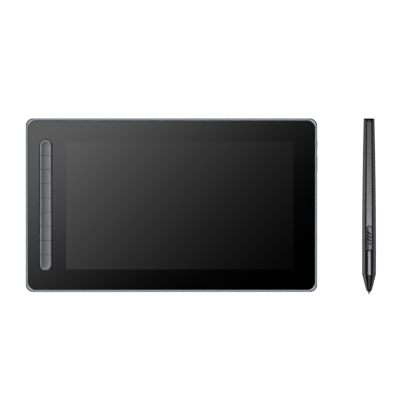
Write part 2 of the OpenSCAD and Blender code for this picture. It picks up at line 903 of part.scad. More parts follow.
// One side button: its face, the flange behind the wall and the plunger
module side_button(i) {
    b = BUTTONS[i];
    color(frame_grey)
    on_tablet()
    translate([0, b[0], z_button]) {
        along_x(x_flange_in, x_edge + button_proud)
            rounded_rect(b[1], button_h, button_r);
        along_x(x_flange_in, x_flange)
            rounded_rect(b[1], button_h + 2 * button_flange, button_r);
        along_x(x_side_switch - plunger_in, x_flange_in + button_flange_t / 2)
            circle(d = plunger_d);
    }
}

module side_board() {
    color(board_green)
    on_tablet()
    block(x_side_board_in, x_side_board, side_board_y0, side_board_y1, z_floor, z_ledge_low - 2 * wall_fit);
}

module side_switches() {
    bore = plunger_in + button_travel + press_room;
    color(part_black)
    on_tablet()
    for (b = BUTTONS)
        translate([0, b[0], z_button])
            difference() {
                along_x(x_side_board, x_side_switch)
                    square(side_switch_w, center = true);
                along_x(x_side_switch - bore, x_side_switch + over)
                    circle(d = plunger_d + 2 * wall_fit);
            }
}

// A flat cable from the display stack's far edge at a height, down to its plug on the main board
module stack_flex(at, w, y_from, z_from) {
    y_drop = board_y0 - board_gap / 2;
    z_plug = z_board_top + plug_h / 2;
    color(cable_amber)
    on_tablet()
    along_x(board_x0 + at - w / 2, board_x0 + at + w / 2)
        ribbon([[y_from + flex_t / 2, z_from], [y_drop, z_from], [y_drop, z_plug],
                [board_y0 + plug_in - flex_t / 2, z_plug]]);
}

module display_flex() {
    stack_flex(display_cable_at, display_cable_w, stack_y + panel_d / 2, z_panel + panel_t / 2);
}

module digitizer_flex() {
    stack_flex(digitizer_cable_at, digitizer_cable_w, stack_far, z_digitizer + digitizer_t / 2);
}

module key_flex() {
    x_plug = board_x0 + key_plug_in;
    color(cable_amber)
    on_tablet()
    along_y(cable_y - cable_w / 2, cable_y + cable_w / 2)
        ribbon([[key_x, z_key_board - flex_t / 2], [key_x, z_floor + flex_t / 2],
                [x_plug, z_floor + flex_t / 2], [x_plug, z_board - flex_t / 2]]);
}

module side_flex() {
    x_plug = board_x1 - side_plug_in;
    z_run = z_board_top + plug_h;
    color(cable_amber)
    on_tablet()
    along_y(cable_y - cable_w / 2, cable_y + cable_w / 2)
        ribbon([[x_side_board_in - flex_t / 2, z_run], [x_plug, z_run],
                [x_plug, z_board_top + flex_t / 2]]);
}

module foot(i) {
    color(part_black)
    on_tablet()
    translate([FEET[i].x, FEET[i].y, 0])
        linear_extrude(foot_h + foot_recess)
            rotate(90)
                pill(foot_len, foot_w);
}

module case_screws() {
    color(steel)
    on_tablet()
    for (p = SCREWS)
        translate([p.x, p.y, foot_h]) {
            cylinder(h = screw_head_h, d = screw_head_d);
            cylinder(h = screw_head_h + screw_len - press_room, d = screw_d);
        }
}

// Outer radius of the pen at a distance z from the tail end
function pen_r_at(z) = pen_r - pow(max(taper_len - z, 0), 2) / (2 * taper_arc);

// Points along the pen's outline from z0 to z1, as [radius, z]
function pen_outline(z0, z1, steps) =
    [for (i = [0:steps]) let (z = z0 + (z1 - z0) * i / steps) [pen_r_at(z), z]];

// Removes the flat facet from the top of the tail and the barrel, after a slope down to it
module facet_cut(z0, z1, run = 0) {
    outline = pen_outline(z0 + run, z1, barrel_steps);
    slope = run > 0 ? [[z0, pen_r_at(z0)]] : [];
    rotate([0, -90, 0])
        linear_extrude(pen_d, center = true)
            polygon(concat(slope, [for (p = outline) [p.y, p.x * cos(facet_angle)]],
                           [[z1, pen_d], [z0, pen_d]]));
}

// The rocker's outline from above, grown at its sides and its ends: its far end comes to a point
module rocker_plan(side, end) {
    half = rocker_w / 2 + side;
    far = rocker_len / 2 + end;
    shoulder = rocker_len / 2 - rocker_point + side;
    near = rocker_w / 2 - rocker_len / 2 + side - end;
    polygon([[-half, near], [half, near], [half, shoulder], [point_right, far], [-half, shoulder]]);
    translate([0, near])
        circle(half);
}

module pen_barrel() {
    side = [[pen_r_at(tail_len) - seam_edge, tail_len]];
    swell = pen_outline(tail_len + seam_edge, taper_len, barrel_steps);
    front = [[pen_r, z_nose - grip_edge], [pen_r - grip_edge, z_nose]];
    color(pen_grey)
    on_pen()
    difference() {
        rotate_extrude()
            polygon(concat([[0, tail_len]], side, swell, front, [[0, z_nose]]));
        translate([0, 0, tail_len - over])
            cylinder(h = z_nose - tail_len + 2 * over, d = barrel_bore_d);
        facet_cut(tail_len - over, facet_end);
        translate([0, 0, rocker_at])
            rotate([-90, 0, 0])
                linear_extrude(pen_d)
                    rocker_plan(slot_side, slot_end);
    }
}

module pen_tail() {
    swell = pen_outline(cap_h, tail_len - seam_edge, barrel_steps);
    color(pen_grey)
    on_pen()
    difference() {
        union() {
            rotate_extrude()
                polygon(concat([[0, cap_h]], swell,
                               [[pen_r_at(tail_len) - seam_edge, tail_len], [0, tail_len]]));
            translate([0, 0, tail_len - over])
                cylinder(h = spigot_len + over, d = barrel_bore_d - 2 * seat_fit);
        }
        translate([0, 0, cap_h - over])
            cylinder(h = tail_len + spigot_len, d = tail_bore_d);
        facet_cut(facet_start, tail_len + over, facet_run);
    }
}

module pen_end_cap() {
    plug_len = 5;
    r = pen_r_at(cap_h);
    color(pen_black)
    on_pen() {
        rotate_extrude()
            polygon(concat([[0, 0]],
                [for (a = [90:-15:0]) [r - cap_round + cap_round * cos(a), cap_round - cap_round * sin(a)]],
                [[r, cap_h], [0, cap_h]]));
        translate([0, 0, cap_h])
            cylinder(h = plug_len, d = tail_bore_d - 2 * seat_fit);
    }
}

module pen_nose() {
    tip_r = nose_tip_d / 2;
    round_top = tip_r + nose_round * (cos(nose_angle) - cos(nose_tip_angle));
    base_r = round_top + cone_len * tan(nose_angle);
    tip_arc = [for (i = [0:8])
        let (a = nose_angle + (nose_tip_angle - nose_angle) * i / 8)
        [round_top - nose_round * (cos(nose_angle) - cos(a)),
         z_nose + cone_len + nose_round * (sin(a) - sin(nose_angle))]];
    color(pen_black)
    on_pen()
    difference() {
        union() {
            rotate_extrude()
                polygon(concat([[0, z_nose], [base_r, z_nose]], tip_arc, [[0, z_tip]]));
            translate([0, 0, z_nose - spigot_len])
                cylinder(h = spigot_len + seat_fit, d = barrel_bore_d - 2 * seat_fit);
        }
        translate([0, 0, z_nose - spigot_len - over])
            cylinder(h = spigot_len + over + nose_cavity_len, d = nose_cavity_d);
        translate([0, 0, z_nose])
            cylinder(h = nose_cavity_len + ferrite_seat_len, d = ferrite_d + 2 * seat_fit);
        translate([0, 0, z_nose])
            cylinder(h = nose_len + over, d = nib_d + 2 * nib_fit);
    }
}

module pen_nib() {
    z_back = z_holder + holder_len / 3;
    color(part_black)
    on_pen() {
        translate([0, 0, z_back])
            cylinder(h = pen_len - nib_d / 2 - z_back, d = nib_d);
        translate([0, 0, pen_len - nib_d / 2])
            sphere(d = nib_d);
    }
}

module nib_holder() {
    color("gainsboro")
    on_pen()
    translate([0, 0, z_holder])
        difference() {
            cylinder(h = holder_len, d = holder_d);
            translate([0, 0, holder_len / 3])
                cylinder(h = holder_len, d = nib_d + 2 * shaft_fit);
        }
}

module pressure_sensor() {
    color(steel)
    on_pen()
    translate([0, 0, z_sensor])
        cylinder(h = sensor_len, d = sensor_d);
}

module ferrite_core() {
    color("dimgray")
    on_pen()
    translate([0, 0, z_nose - ferrite_back])
        difference() {
            cylinder(h = ferrite_back + nose_cavity_len + ferrite_seat_len - seat_fit, d = ferrite_d);
            translate([0, 0, -over])
                cylinder(h = nose_len + spigot_len, d = nib_d + 4 * nib_fit);
        }
}

module pen_coil() {
    coil_end = 0.5;
    color("chocolate")
    on_pen()
    translate([0, 0, z_nose - coil_end])
        difference() {
            cylinder(h = nose_cavity_len, d = coil_d);
            translate([0, 0, -over])
                cylinder(h = nose_cavity_len + 2 * over, d = ferrite_d + 2 * seat_fit);
        }
}

module pin_bore(fit) {
    translate([0, pin_up, rocker_at])
        rotate([0, 90, 0])
            cylinder(h = pen_d, d = pin_d + 2 * fit, center = true);
}

module rocker_pin() {
    color(steel)
    on_pen()
    translate([0, pin_up, rocker_at])
        rotate([0, 90, 0])
            cylinder(h = 2 * (ear_in + ear_t), d = pin_d, center = true);
}

// The trough that carries the pen's board and sensor, with two ears for the rocker's pin
module pen_carrier() {
    ear_low = sqrt(trough_r * trough_r - ear_in * ear_in);
    ear_top = pin_up + pin_d / 2 + ear_wall;
    carrier_len = z_sensor + sensor_len - carrier_start;
    color(part_black)
    on_pen()
    difference() {
        union() {
            translate([0, 0, carrier_start])
                difference() {
                    cylinder(h = carrier_len, r = carrier_r);
                    translate([0, 0, -over])
                        cylinder(h = carrier_len + 2 * over, r = trough_r);
                    block(-pen_d, pen_d, pen_board_low, pen_d, -over, carrier_len + over);
                }
            for (s = [0, 1])
                mirror([s, 0, 0])
                    block(ear_in, ear_in + ear_t, -ear_low - seat_fit, ear_top,
                          rocker_at - ear_half, rocker_at + ear_half);
        }
        pin_bore(seat_fit);
    }
}

module pen_board() {
    board_half = trough_r + pen_board_rest;
    color(board_green)
    on_pen()
    difference() {
        block(-board_half, board_half, pen_board_low, pen_board_top,
              carrier_start + pen_board_in, z_sensor - sensor_gap);
        for (s = [0, 1])
            mirror([s, 0, 0])
                block(keel_half, board_half + over, pen_board_low - over, pen_board_top + over,
                      rocker_at - ear_half - wall_fit, rocker_at + ear_half + wall_fit);
    }
}

module pen_switches() {
    switch_half = 1.5;
    color(part_black)
    on_pen()
    for (s = [-1, 1])
        translate([0, 0, rocker_at + s * switch_at])
            block(-switch_half, switch_half, pen_board_top, pen_board_top + pen_switch_h,
                  -switch_half, switch_half);
}

module pen_rocker() {
    ridge_up = pen_r_at(rocker_at) + rocker_proud;
    roof = [[-rocker_w, ridge_up - (rocker_w - ridge_left) * tan(left_slope)], [-ridge_left, ridge_up],
            [rocker_w, ridge_up - (rocker_w + ridge_left) * tan(right_slope)]];
    plunger_low = pen_board_top + pen_switch_h + plunger_room;
    rocker_plunger_d = 2;
    color(pen_grey)
    on_pen()
    difference() {
        union() {
            intersection() {
                translate([0, rocker_low, rocker_at])
                    rotate([-90, 0, 0])
                        linear_extrude(pen_d)
                            rocker_plan(0, 0);
                translate([0, 0, rocker_at])
                    linear_extrude(2 * rocker_len, center = true)
                        polygon(concat(roof, [[rocker_w, 0], [-rocker_w, 0]]));
            }
            block(-keel_half, keel_half, pin_up - pin_d, rocker_low + over,
                  rocker_at - ear_half, rocker_at + ear_half);
            for (s = [-1, 1])
                translate([0, plunger_low, rocker_at + s * switch_at])
                    rotate([-90, 0, 0])
                        cylinder(h = rocker_low + over - plunger_low, d = rocker_plunger_d);
        }
        pin_bore(shaft_fit);
        for (i = [0:groove_count - 1])
            translate([0, ridge_up, rocker_at + (i - (groove_count - 1) / 2) * groove_pitch])
                rotate([0, -groove_slant, 0])
                    cube([groove_len, 2 * groove_depth, groove_w], center = true);
    }
}

rear_cover();
side_frame();
cover_glass();
glass_tape();
display_panel();
light_guide();
led_bar();
backlight_tray();
digitizer_board();
shield_plate();
main_board();
board_parts();
usb_socket(0);  // usb_socket_1
usb_socket(1);  // usb_socket_2
board_screws();
key_carrier();
key_board();
key_switches();
for (i = [0:KEYS - 1])
    key(i);
side_button(0);  // power_button
side_button(1);  // brightness_up_button
side_button(2);  // brightness_down_button
side_board();
side_switches();
display_flex();
digitizer_flex();
key_flex();
side_flex();
for (i = [0:3])
    foot(i);
case_screws();
pen_barrel();
pen_tail();
pen_end_cap();
pen_nose();
pen_nib();
nib_holder();
pen_rocker();
rocker_pin();
pen_carrier();
pen_board();
pen_switches();
pressure_sensor();
ferrite_core();
pen_coil();
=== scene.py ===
"""Looks of a pen display and its pen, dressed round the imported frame.

Lengths are in metres; MM turns a length in millimetres into metres. The photograph looks straight
down, with the tablet's keys on the left and its far edge at the top.
"""
import json
import math

import bmesh
import bpy
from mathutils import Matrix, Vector
from mathutils.geometry import tessellate_polygon


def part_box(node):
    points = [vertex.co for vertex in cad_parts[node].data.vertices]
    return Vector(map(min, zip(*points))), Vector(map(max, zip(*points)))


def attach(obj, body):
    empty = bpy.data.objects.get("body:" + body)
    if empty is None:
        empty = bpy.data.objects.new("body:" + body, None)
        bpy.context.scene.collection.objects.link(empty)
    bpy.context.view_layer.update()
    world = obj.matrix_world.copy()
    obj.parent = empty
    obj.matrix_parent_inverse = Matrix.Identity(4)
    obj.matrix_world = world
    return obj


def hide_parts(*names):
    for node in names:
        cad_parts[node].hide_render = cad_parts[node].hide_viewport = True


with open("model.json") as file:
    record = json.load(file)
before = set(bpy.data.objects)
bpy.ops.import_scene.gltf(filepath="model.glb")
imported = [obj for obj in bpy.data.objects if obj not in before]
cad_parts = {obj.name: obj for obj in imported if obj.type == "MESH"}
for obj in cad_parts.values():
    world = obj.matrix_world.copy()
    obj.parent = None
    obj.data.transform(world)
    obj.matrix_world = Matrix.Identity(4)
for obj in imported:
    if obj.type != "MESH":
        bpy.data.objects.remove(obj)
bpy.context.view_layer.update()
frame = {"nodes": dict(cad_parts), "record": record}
NODES = frame["nodes"]
SCENE = bpy.context.scene
MM = 0.001
WHITE = (1, 1, 1, 1)

# Camera: the photograph is square and 400 pixels wide
PICTURE_PX = 400
MM_PER_PX = 0.9864
PICTURE_CENTRE = Vector((-0.89, 6.12, 7)) * MM
LENS = 800
SENSOR = 36
CAMERA_DISTANCE = PICTURE_PX * MM_PER_PX * MM * LENS / SENSOR
CAMERA_CLIP = 20

# Meshes: points nearer than JOIN become one, faces whose normals are upright to LEVEL are shaded flat,
# and edges that turn by more than these degrees are sharp
JOIN = 1e-7
LEVEL = 0.999999
SHARP, KEY_SHARP, ROCKER_SHARP = 30, 40, 50
CORNER_STEPS = 10

# Finishes: a noise some times coarser than the grain shifts colour and gloss, and the grain is a bump
CLOUD_SIZE = 12
CLOUD_SPAN = 0.3, 0.7
CLOUD_DETAIL, GRAIN_DETAIL = 3, 2
GRAIN_HEIGHT = 0.02 * MM

# Cover glass: one sheet with a printed border, a slot for the keys and the picture behind it
GLASS_LOW, GLASS_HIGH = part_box("cover_glass")
PANEL_LOW, PANEL_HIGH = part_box("display_panel")
PANEL_MARGIN = 3 * MM
GLASS_CORNER = 7.55 * MM
GLASS_EDGE = 0.5 * MM
GLASS_EDGE_DROP = 0.2 * MM
GLASS_EDGE_STEPS = 6
SLOT_BEVEL = 0.2 * MM
SLOT_STEPS = 16
PICTURE_CORNER = 0.3 * MM
PICTURE_STEPS = 3
PICTURE_BEVEL, PICTURE_BEVEL_DROP = 0.08 * MM, 0.05 * MM

# Side frame: its rounded outline, and the painted light added to its colour, as a share. Its corners
# get a painted highlight inside and painted shade outside, and a painted shadow line runs along the
# glass, round the opening.
RIM_NODES = "side_frame", "power_button", "brightness_up_button", "brightness_down_button"
RIM_CORNER = 7.1 * MM
RIM_ROUND, RIM_WALL = 1.2 * MM, 2 * MM
RIM_BLEND_START, RIM_BLEND_END = -1.5 * MM, 1 * MM
RIM_HIGHLIGHT_END, RIM_SHADE_START = 4.1 * MM, 6.3 * MM
RIM_HIGHLIGHT, RIM_SHADE = 0.56, -0.68
OPENING_GAP = 0.15 * MM
OPENING_CORNER = 7.7 * MM
# Painted shadow line along the glass: where it is full, where it clears, and how much it darkens
GAP_SHADOW_FULL, GAP_SHADOW_CLEAR, GAP_SHADOW = 0.13 * MM, 0.23 * MM, -0.95

# Shortcut keys: a pill-shaped strip cut into nine, with a dish along it
KEY_COUNT = 9
KEY_MIDDLE = Vector((-152.95, 1.0)) * MM
KEY_TOP = 12.1 * MM
KEY_LOW = 10 * MM
KEY_HALF = 5.6 * MM
KEY_PITCH = 14 * MM
KEY_GAP = 0.35 * MM
STRIP_HALF = 64.3 * MM
STRIP_AXIS_HALF = STRIP_HALF - KEY_HALF
STRIP_END_STEPS = 24
SLOT_GAP = 0.8 * MM

# Their surface: the dish, the lip round the strip, and the rounded edges where two keys meet. AWAY
# stands for the distance to an edge that a key doesn't have.
DISH_HALF = 4.1 * MM
DISH_DEPTH = 0.8 * MM
DISH_POWER = 2.3
DISH_STEPS = 10
LIP_ROUND = 0.5 * MM
LIP_FLATS = 0.7 * MM, 0.3 * MM
LIP_TURNS = 0, 20, 40, 60, 75, 90
DIVIDER_ROUND = 0.25 * MM
DIVIDER_TURNS = 0, 30, 50, 70, 90
AWAY = 1

# Painted highlight on the keys' lips: their tops are made paler
LIP_HIGHLIGHT_START, LIP_HIGHLIGHT_FULL = KEY_TOP - 0.13 * MM, KEY_TOP - 0.03 * MM
LIP_HIGHLIGHT_GAIN = 1.4

# Pen: its axis lies along Y
PEN_X = 165.85 * MM
PEN_Z = 6.9 * MM

# Rocker: a ridge left of its middle, a steep left side and a nearly level right side. Its far end is
# pointed and its near end is round.
ROCKER_FAR = -18.85 * MM
ROCKER_NEAR = -44.0 * MM
ROCKER_HALF = 2.65 * MM
ROCKER_TOP = 14.1 * MM
ROCKER_LOW = 11.4 * MM
ROCKER_ROWS, ROCKER_COLUMNS = 250, 56
RIDGE = -0.45 * MM
RIDGE_ROUND = 0.25 * MM
LEFT_FALL = math.tan(math.radians(24))
RIGHT_FALL = math.tan(math.radians(5))
POINT_X = 0.3 * MM
POINT_LEN = 1.9 * MM
SIDE_EDGE = 0.3 * MM
POINT_EDGE = 0.6 * MM
NEAR_EDGE = 1.4 * MM

# Grip grooves across the rocker: the X and Y of each one's middle and half its length, in millimetres
GROOVES = ((-0.05, -26.5, 2.6), (-0.15, -29.8, 2.6), (-0.15, -33.1, 2.6), (0.9, -37.0, 1.3))
GROOVE_SLANT = math.radians(40)
GROOVE_HALF = 0.56 * MM
GROOVE_DEPTH = 1.3 * MM
GROOVE_END = 0.5 * MM

# Seam between the pen's barrel and tail: a dark ring, a hair above the facet and sunk in the round part
SEAM_Y = 51.85 * MM
SEAM_HALF = 0.11 * MM
SEAM_SUNK = 0.1 * MM
SEAM_PROUD = 0.01 * MM
SEAM_THICK = 0.4 * MM
SEAM_STEPS = 96
FACET_ANGLE = math.radians(21.7)

# Floor, and a world that is bright below one height and dark above another
FLOOR_HALF, FLOOR_Z = 6, -0.0002
FLOOR_COLOUR = (0.8, 0.8, 0.8, 1)
FLOOR_ROUGH = 0.9
FLOOR_GLOW, FLOOR_GLOSS = 0.75, 0.35
WALL_SPAN = 0.28, 0.42
WALL_LIGHT, OVERHEAD_LIGHT = 0.4, 0.003

# Lamps: azimuth and elevation in degrees, distance, size, power in watts, and the groups of pieces
# that each one lights alone (INCLUDE) or leaves out (EXCLUDE)
LAMP_TARGET = Vector((0, 0, 0.01))
LAMPS = (
    ("key", 145, 26, 1.5, 0.6, 10, "EXCLUDE", ("rim", "glass")),
    ("key_strip", 145, 26, 3, 1.6, 116, "INCLUDE", ("keys",)),
    ("key_fill", -20, 20, 1.6, 0.9, 4, "INCLUDE", ("keys",)),
    ("top", 90, 88, 1.5, 0.8, 8, "EXCLUDE", ("keys", "glass", "pen")),
    ("rim_top", -90, 84, 1.5, 0.5, 8, "INCLUDE", ("rim",)),
    ("fill", -40, 35, 1.6, 0.9, 9, "EXCLUDE", ("keys", "glass", "pen", "rim")),
)

# Cards that only gloss shows, over the tablet and the pen: CARD_STEP parts those that overlap
CARD_HEIGHT = 0.4
CARD_STEP = 0.005
CARD_MARGIN = 0.1
CARD_REACH = 1 + CARD_HEIGHT / CAMERA_DISTANCE
PEN_CARD_HEIGHT = 0.8
PEN_CARD_LEFT, PEN_CARD_RIGHT = -0.046, 0.494

# The glass shows a gradient from each far left corner: the way it falls, how far, and how steeply
GLASS_SHADE = 2.75
BORDER_WAY, BORDER_FADE, BORDER_POWER = Vector((0.589, -0.808, 0)), 0.54, 9.6
PICTURE_WAY, PICTURE_FADE, PICTURE_POWER = Vector((0.702, -0.712, 0)), 0.282, 2.74
PICTURE_LEAST = 0.035

# A wide card that the glass shows from low down: clear overhead, and brighter from one distance to
# another
SKY_HEIGHT, SKY_HALF = 1.5, 4
SKY_CLEAR, SKY_FULL, SKY_SHADE = 1.7, 2.6, 0.13

# Places along the pen's card, in metres, and its brightness there: the nose shows the far end, and the
# slope behind the tail's facet shows the dark stretch before it
PEN_SHADES = (
    (-0.66, 0), (-0.6, 1.8), (-0.42, 1.8), (-0.36, 0.05), (-0.13, 0.05), (-0.09, 10.4), (-0.048, 10.4),
    (-0.02, 4.2), (0.006, 4), (0.047, 3.4), (0.088, 2.2), (0.125, 1.35), (0.3, 1.3),
)

# A wide card that the pen's round grip shows, brightest along one line aside of the pen
GRIP_LEFT, GRIP_RIGHT = PEN_X - 1, PEN_X + 1.4
GRIP_NEAR, GRIP_FAR = -0.09, -0.048
GRIP_ASIDE, GRIP_FADE = 0.2, 0.7
GRIP_MOST, GRIP_LEAST = 3.5, 0.2

# Upright cards beside the pen: place aside of it, top and brightness. They dim along it from one place
# to another, to a share of that.
PEN_SIDES = (("pen_left_card", -0.015, 0.0155, 1.95), ("pen_right_card", 0.015, 0.0165, 0.72))
SIDE_HALF, SIDE_LOW = 0.095, 0.0003
FADE_START, FADE_STOP, FADE_END = 0.035, 0.085, 0.5

# A card that the rocker's steep side shows
ROCKER_CARD_LOW, ROCKER_CARD_HIGH = (PEN_X - 0.62, -0.2), (PEN_X - 0.3, 0.15)
ROCKER_SHADE = 1.5


def node_material(name):
    """A new node material, with its tree and its main shader."""
    mat = bpy.data.materials.new(name)
    mat.use_nodes = True
    tree = mat.node_tree
    return mat, tree, tree.nodes["Principled BSDF"]


def add(tree, kind, **inputs):
    """A node of a tree, with values for its inputs: underscores stand for spaces."""
    node = tree.nodes.new(kind)
    for key, value in inputs.items():
        node.inputs[key.replace("_", " ")].default_value = value
    return node


def feed(tree, value, socket):
    """Gives a socket a number, or another node's output."""
    if isinstance(value, (int, float)):
        socket.default_value = value
    else:
        tree.links.new(value, socket)


def maths(tree, operation, first, second=0):
    """The result of an operation on values, each a number or another node's output."""
    node = tree.nodes.new("ShaderNodeMath")
    node.operation = operation
    feed(tree, first, node.inputs[0])
    feed(tree, second, node.inputs[1])
    return node.outputs["Value"]


def vector_maths(tree, operation, first, second=(0, 0, 0), result="Vector"):
    """The result of an operation on vectors, the second a constant: a vector or a value."""
    node = tree.nodes.new("ShaderNodeVectorMath")
    node.operation = operation
    tree.links.new(first, node.inputs[0])
    node.inputs[1].default_value = second
    return node.outputs[result]


def own_place(tree):
    """A point's place in the object's own metres."""
    return add(tree, "ShaderNodeTexCoord").outputs["Object"]


def parts(tree, vector):
    """The X, Y and Z of a vector."""
    split = add(tree, "ShaderNodeSeparateXYZ")
    tree.links.new(vector, split.inputs["Vector"])
    return split.outputs


def noise(tree, scale, detail):
    """Noise in the object's own metres, so that its grain keeps its real size."""
    node = add(tree, "ShaderNodeTexNoise", Scale=scale, Detail=detail)
    tree.links.new(own_place(tree), node.inputs["Vector"])
    return node.outputs["Fac"]


def ramp(tree, value, start, stop, low, high, curve="LINEAR"):
    """Maps a value from one range to another, and holds it there."""
    node = add(tree, "ShaderNodeMapRange", From_Min=start, From_Max=stop, To_Min=low, To_Max=high)
    node.interpolation_type = curve
    tree.links.new(value, node.inputs["Value"])
    return node.outputs["Result"]


def painted_lip_highlight(tree):
    """A painted highlight: paler along the keys' lips."""
    # Painted highlight: the colour is raised near the top of each key
    return ramp(tree, parts(tree, own_place(tree))["Z"], LIP_HIGHLIGHT_START, LIP_HIGHLIGHT_FULL, 1, LIP_HIGHLIGHT_GAIN)


def outline_reach(tree, low, high, corner):
    """How far a point lies past the straight edges of a rounded outline, along X and Y and in all."""
    straight = (high - low) / 2 - Vector((corner, corner, 0))
    off = vector_maths(tree, "SUBTRACT", own_place(tree), (low + high) / 2)
    level_off = vector_maths(tree, "MULTIPLY", off, (1, 1, 0))
    past = vector_maths(tree, "SUBTRACT", vector_maths(tree, "ABSOLUTE", level_off), straight)
    outside = vector_maths(tree, "MAXIMUM", past, (0, 0, 0))
    level_outside = vector_maths(tree, "MULTIPLY", outside, (1, 1, 0))
    return parts(tree, past), vector_maths(tree, "LENGTH", level_outside, result="Value")


def painted_rim_light(tree):
    """Painted light on the rim's top: a shadow line by the glass, and a highlight and shade at the
    corners.
    """
    low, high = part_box("side_frame")
    past, reach = outline_reach(tree, low, high, RIM_CORNER)
    # Painted highlight inside each corner and painted shade round its outside
    painted_light = ramp(tree, reach, RIM_HIGHLIGHT_END, RIM_SHADE_START, RIM_HIGHLIGHT, RIM_SHADE)
    nearer = maths(tree, "MINIMUM", past["X"], past["Y"])
    in_corner = ramp(tree, nearer, RIM_BLEND_START, RIM_BLEND_END, 0, 1)
    gap = Vector((OPENING_GAP, OPENING_GAP, 0))
    _, inner = outline_reach(tree, GLASS_LOW - gap, GLASS_HIGH + gap, OPENING_CORNER)
    # Painted shadow along the glass, round the opening
    gap_shadow = ramp(tree, inner, OPENING_CORNER + GAP_SHADOW_FULL, OPENING_CORNER + GAP_SHADOW_CLEAR, GAP_SHADOW, 0)
    height = parts(tree, own_place(tree))["Z"]
    on_top = ramp(tree, height, high.z - RIM_WALL, high.z - RIM_ROUND, 0, 1)
    both = maths(tree, "ADD", maths(tree, "MULTIPLY", in_corner, painted_light), gap_shadow)
    share = maths(tree, "ADD", maths(tree, "MULTIPLY", on_top, both), 1)
    return maths(tree, "MAXIMUM", share, 1 + GAP_SHADOW)


def coat(tree, cloud, colour, shift, painted_light):
    """A colour that a noise shifts a little, and that painted light makes paler or darker in some
    places.
    """
    tint = add(tree, "ShaderNodeMix")
    tint.data_type = "RGBA"
    tint.inputs["A"].default_value = (*[c * (1 - shift) for c in colour], 1)
    tint.inputs["B"].default_value = (*[c * (1 + shift) for c in colour], 1)
    tree.links.new(ramp(tree, cloud, *CLOUD_SPAN, 0, 1), tint.inputs["Factor"])
    if painted_light is None:
        return tint.outputs["Result"]
    # Painted light: the colour is scaled to paint highlights and shade in some places
    with_painted_light = add(tree, "ShaderNodeVectorMath")
    with_painted_light.operation = "SCALE"
    tree.links.new(tint.outputs["Result"], with_painted_light.inputs[0])
    tree.links.new(painted_light(tree), with_painted_light.inputs["Scale"])
    return with_painted_light.outputs["Vector"]


def finish(name, colour, rough, grain, bump, shift=0.06, rough_shift=0.04, metallic=0.0,
           specular=0.5, edge=1.0, painted_light=None):
    """A moulded, painted or metal surface.

    Its colour and gloss vary a little, and a bump roughens it, with so many grains to the metre. Edge
    is how much of its gloss is left at a grazing angle.
    """
    mat, tree, shader = node_material(name)
    link = tree.links.new
    shader.inputs["Metallic"].default_value = metallic
    shader.inputs["Specular IOR Level"].default_value = specular
    shader.inputs["Specular Tint"].default_value = (edge, edge, edge, 1)
    cloud = noise(tree, grain / CLOUD_SIZE, CLOUD_DETAIL)
    # Painted light, where given, makes the colour paler or darker in some places
    link(coat(tree, cloud, colour, shift, painted_light), shader.inputs["Base Color"])
    gloss = ramp(tree, cloud, *CLOUD_SPAN, rough - rough_shift, rough + rough_shift)
    link(gloss, shader.inputs["Roughness"])
    relief = add(tree, "ShaderNodeBump", Strength=bump, Distance=GRAIN_HEIGHT)
    link(noise(tree, grain, GRAIN_DETAIL), relief.inputs["Height"])
    link(relief.outputs["Normal"], shader.inputs["Normal"])
    return mat


# Material slots and their finishes, and a node that has its own
PEN_COAT = {"edge": 0.1, "rough_shift": 0.02}
FINISHES = {
    # The frame's rim gets painted light: a highlight and shade at its corners and a shadow along the
    # glass
    "frame_metal": finish("satin_frame", (0.262, 0.288, 0.317), 0.42, 5000, 0.08, shift=0.03,
                          metallic=0.15, specular=0.3, rough_shift=0.02, painted_light=painted_rim_light),
    "front_glass": finish("etched_glass", (0.0006, 0.0006, 0.0006), 0.12, 5000, 0.01, rough_shift=0.01),
    "cover_plastic": finish("grained_cover", (0.03, 0.031, 0.034), 0.6, 2600, 0.5),
    # The keys' lips get a painted highlight, paler at their tops
    "key_plastic": finish("satin_keys", (0.157, 0.16, 0.173), 0.55, 4500, 0.08, specular=0.2,
                          painted_light=painted_lip_highlight),
    "foot_rubber": finish("foot_rubber", (0.018, 0.018, 0.019), 0.8, 2200, 0.6),
    "tape": finish("foam_tape", (0.012, 0.012, 0.012), 0.9, 3000, 0.6),
    "panel_glass": finish("panel_glass", (0.01, 0.01, 0.012), 0.15, 3000, 0.02),
    "light_guide_acrylic": finish("light_guide", (0.75, 0.76, 0.74), 0.12, 2000, 0.05),
    "led_white": finish("led_white", (0.7, 0.68, 0.55), 0.4, 3000, 0.1),
    "sheet_aluminium": finish("rolled_sheet", (0.6, 0.61, 0.63), 0.35, 3000, 0.1, metallic=1),
    "circuit_board": finish("solder_mask", (0.012, 0.075, 0.04), 0.3, 1500, 0.15),
    "black_part": finish("moulded_black", (0.015, 0.015, 0.016), 0.5, 3000, 0.3),
    "steel": finish("plated_steel", (0.5, 0.5, 0.52), 0.3, 4000, 0.15, metallic=1),
    "flat_cable": finish("flat_cable", (0.42, 0.19, 0.04), 0.3, 2500, 0.05),
    "pen_shell": finish("pen_shell", (0.058, 0.059, 0.063), 0.19, 4000, 0.004, metallic=0.9, **PEN_COAT),
    "pen_button": finish("pen_button", (0.057, 0.058, 0.061), 0.24, 4000, 0.01, metallic=0.85,
                         **PEN_COAT),
    "pen_black": finish("pen_black", (0.051, 0.051, 0.053), 0.19, 4000, 0.004, metallic=0.9, **PEN_COAT),
    "nib_plastic": finish("nib_plastic", (0.006, 0.006, 0.006), 0.5, 4000, 0.02, specular=0.2),
    "ferrite": finish("ferrite", (0.05, 0.05, 0.055), 0.7, 3500, 0.5),
    "copper": finish("enamelled_copper", (0.5, 0.2, 0.08), 0.25, 3000, 0.1, metallic=1),
}
NODE_FINISHES = {
    "pen_end_cap": finish("matte_cap", (0.003, 0.003, 0.003), 0.6, 4000, 0.05, specular=0.05),
}


def dress():
    """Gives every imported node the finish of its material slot, or its own."""
    for row in frame["record"]["subparts"]:
        for slot in NODES[row["node"]].material_slots:
            slot.material = NODE_FINISHES.get(row["node"]) or FINISHES[row["material_slot"]]


